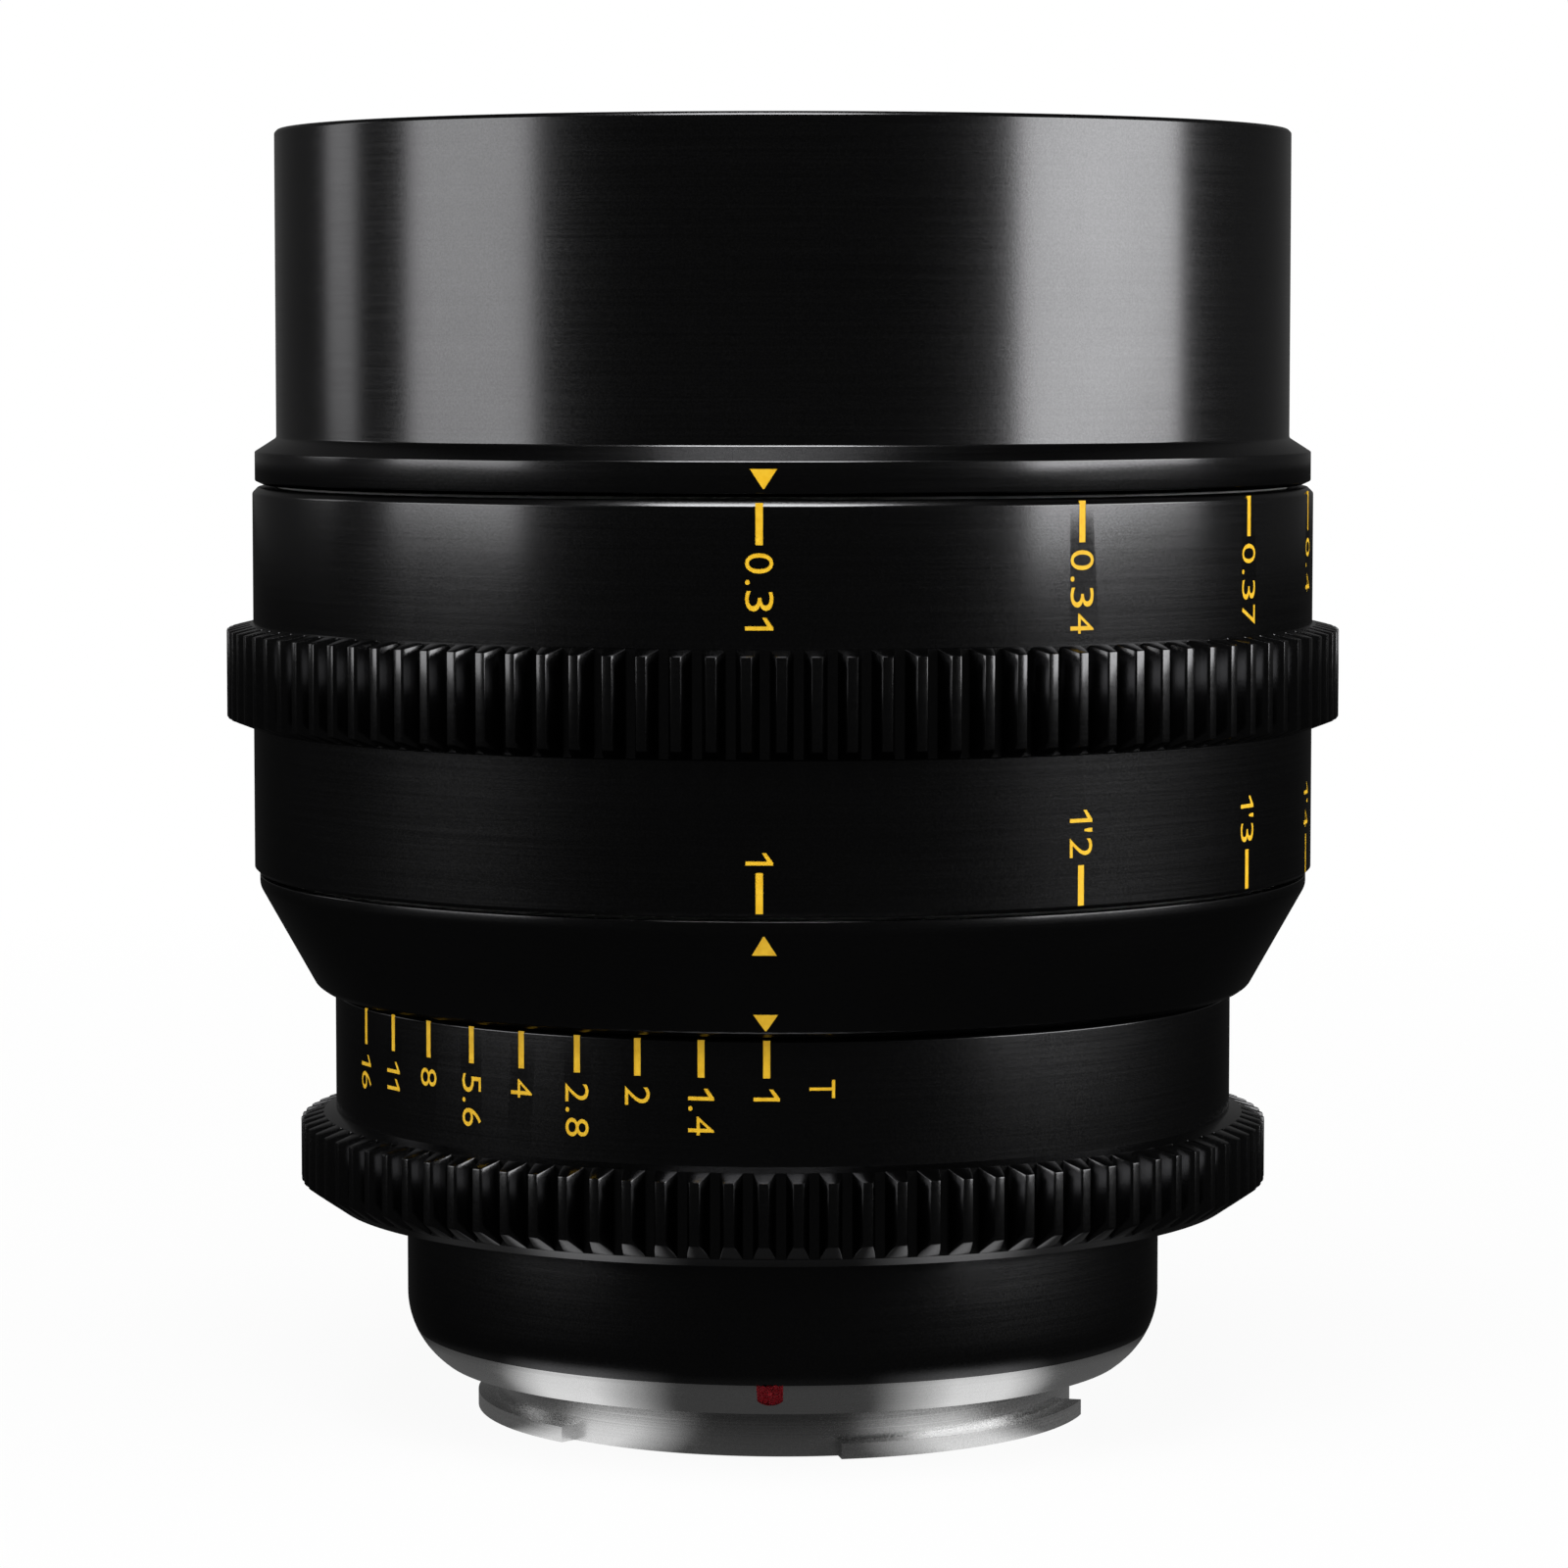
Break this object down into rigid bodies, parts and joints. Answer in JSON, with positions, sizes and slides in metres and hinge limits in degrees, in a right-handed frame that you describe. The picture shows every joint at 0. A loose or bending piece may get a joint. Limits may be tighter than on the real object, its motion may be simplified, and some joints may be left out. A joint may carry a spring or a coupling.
{
  "type": "cinema prime lens",
  "caption": "Cinema prime lens for a mirrorless bayonet: geared focus and iris rings, sliding optical unit, bladed iris, glass elements, clamp-on front with filter thread.",
  "frame": {"origin": "centre of the seating face of the bayonet flange", "axes": "+Z along the optical axis to the front rim, -Y towards the index line, +X to its right"},
  "size_m": [0.088, 0.088, 0.1013],
  "materials": {
    "black_anodised": "satin black anodised, fine bead blast",
    "black_lacquer": "matt black",
    "grey_anodised": "satin anodised",
    "bright_mount": "turned bright",
    "red_enamel": "gloss",
    "black_plastic": "matt moulded",
    "screw_steel": "bright zinc",
    "white_plastic": "smooth low-friction plastic",
    "helicoid_brass": "turned and lapped",
    "coated_glass": "polished, anti-reflection coated",
    "blade_steel": "black oxide"
  },
  "bodies": {
    "fixed_body": {"bayonet_ring": "bright_mount", "mount_index_dot": "red_enamel", "mount_screws": "screw_steel", "rear_barrel": "black_anodised", "rear_baffle": "black_plastic", "main_barrel": "grey_anodised", "cone_housing": "black_anodised", "cone_screws": "screw_steel", "rear_thrust_washer": "white_plastic", "front_thrust_washer": "white_plastic", "focus_stop_pin": "screw_steel", "front_barrel": "black_anodised", "front_trim_ring": "black_lacquer"},
    "focus_ring": {"focus_ring": "black_anodised", "helicoid_sleeve": "helicoid_brass"},
    "iris_ring": {"iris_ring": "black_anodised"},
    "optical_unit": {"lens_carriage": "grey_anodised", "follower_keys": "helicoid_brass", "key_screws": "screw_steel", "front_cell": "black_lacquer", "rear_cell": "black_lacquer", "element_1": "coated_glass", "element_2": "coated_glass", "element_3": "coated_glass", "element_4": "coated_glass", "element_5": "coated_glass", "element_6": "coated_glass", "element_7": "coated_glass", "element_8": "coated_glass", "element_9": "coated_glass", "element_10": "coated_glass", "front_retainer": "black_lacquer", "second_retainer": "black_lacquer", "middle_retainer": "black_lacquer", "spacer_5_6": "black_lacquer", "spacer_6_7": "black_lacquer", "inner_retainer": "black_lacquer", "rear_spacer": "black_lacquer", "rear_retainer": "black_lacquer", "iris_base_plate": "black_lacquer"},
    "iris_actuator": {"iris_actuator": "grey_anodised", "iris_drive_pin": "screw_steel"},
    "blade_01": {"blade_01": "blade_steel"},
    "blade_02": {"blade_02": "blade_steel"},
    "blade_03": {"blade_03": "blade_steel"},
    "blade_04": {"blade_04": "blade_steel"},
    "blade_05": {"blade_05": "blade_steel"},
    "blade_06": {"blade_06": "blade_steel"},
    "blade_07": {"blade_07": "blade_steel"},
    "blade_08": {"blade_08": "blade_steel"},
    "blade_09": {"blade_09": "blade_steel"},
    "blade_10": {"blade_10": "blade_steel"},
    "blade_11": {"blade_11": "blade_steel"}
  },
  "joints": [
    {"name": "focus_turn", "type": "hinge", "parent": "fixed_body", "child": "focus_ring", "pos_m": [0, 0, 0.0543], "axis": [0, 0, -1], "range_deg": [0, 240]},
    {"name": "unit_slide", "type": "slide", "parent": "fixed_body", "child": "optical_unit", "axis": [0, 0, -1], "range_m": [0, 0.00221]},
    {"name": "iris_turn", "type": "hinge", "parent": "fixed_body", "child": "iris_ring", "pos_m": [0, 0, 0.0211], "axis": [0, 0, 1], "range_deg": [0, 63]},
    {"name": "actuator_turn", "type": "hinge", "parent": "optical_unit", "child": "iris_actuator", "pos_m": [0, 0, 0.0236], "axis": [0, 0, 1], "range_deg": [0, 63.1]},
    {"name": "blade_01_swing", "type": "hinge", "parent": "optical_unit", "child": "blade_01", "pos_m": [0.0236, 0, 0.0222], "axis": [0, 0, 1], "range_deg": [0, 38.88]},
    {"name": "blade_02_swing", "type": "hinge", "parent": "optical_unit", "child": "blade_02", "pos_m": [0.01985, 0.01276, 0.0222], "axis": [0, 0, 1], "range_deg": [0, 38.88]},
    {"name": "blade_03_swing", "type": "hinge", "parent": "optical_unit", "child": "blade_03", "pos_m": [0.0098, 0.02147, 0.0222], "axis": [0, 0, 1], "range_deg": [0, 38.88]},
    {"name": "blade_04_swing", "type": "hinge", "parent": "optical_unit", "child": "blade_04", "pos_m": [-0.00336, 0.02336, 0.0222], "axis": [0, 0, 1], "range_deg": [0, 38.88]},
    {"name": "blade_05_swing", "type": "hinge", "parent": "optical_unit", "child": "blade_05", "pos_m": [-0.01545, 0.01784, 0.0222], "axis": [0, 0, 1], "range_deg": [0, 38.88]},
    {"name": "blade_06_swing", "type": "hinge", "parent": "optical_unit", "child": "blade_06", "pos_m": [-0.02264, 0.00665, 0.0222], "axis": [0, 0, 1], "range_deg": [0, 38.88]},
    {"name": "blade_07_swing", "type": "hinge", "parent": "optical_unit", "child": "blade_07", "pos_m": [-0.02264, -0.00665, 0.0222], "axis": [0, 0, 1], "range_deg": [0, 38.88]},
    {"name": "blade_08_swing", "type": "hinge", "parent": "optical_unit", "child": "blade_08", "pos_m": [-0.01545, -0.01784, 0.0222], "axis": [0, 0, 1], "range_deg": [0, 38.88]},
    {"name": "blade_09_swing", "type": "hinge", "parent": "optical_unit", "child": "blade_09", "pos_m": [-0.00336, -0.02336, 0.0222], "axis": [0, 0, 1], "range_deg": [0, 38.88]},
    {"name": "blade_10_swing", "type": "hinge", "parent": "optical_unit", "child": "blade_10", "pos_m": [0.0098, -0.02147, 0.0222], "axis": [0, 0, 1], "range_deg": [0, 38.88]},
    {"name": "blade_11_swing", "type": "hinge", "parent": "optical_unit", "child": "blade_11", "pos_m": [0.01985, -0.01276, 0.0222], "axis": [0, 0, 1], "range_deg": [0, 38.88]}
  ],
  "couplings": [
    {"joint": "unit_slide", "follows": "focus_turn", "m_per_rad": 0.00052521},
    {"joint": "actuator_turn", "follows": "iris_turn", "ratio": 1},
    {"joint": "blade_01_swing", "follows": "iris_turn", "ratio": 0.61555},
    {"joint": "blade_02_swing", "follows": "iris_turn", "ratio": 0.61555},
    {"joint": "blade_03_swing", "follows": "iris_turn", "ratio": 0.61555},
    {"joint": "blade_04_swing", "follows": "iris_turn", "ratio": 0.61555},
    {"joint": "blade_05_swing", "follows": "iris_turn", "ratio": 0.61555},
    {"joint": "blade_06_swing", "follows": "iris_turn", "ratio": 0.61555},
    {"joint": "blade_07_swing", "follows": "iris_turn", "ratio": 0.61555},
    {"joint": "blade_08_swing", "follows": "iris_turn", "ratio": 0.61555},
    {"joint": "blade_09_swing", "follows": "iris_turn", "ratio": 0.61555},
    {"joint": "blade_10_swing", "follows": "iris_turn", "ratio": 0.61555},
    {"joint": "blade_11_swing", "follows": "iris_turn", "ratio": 0.61555}
  ]
}
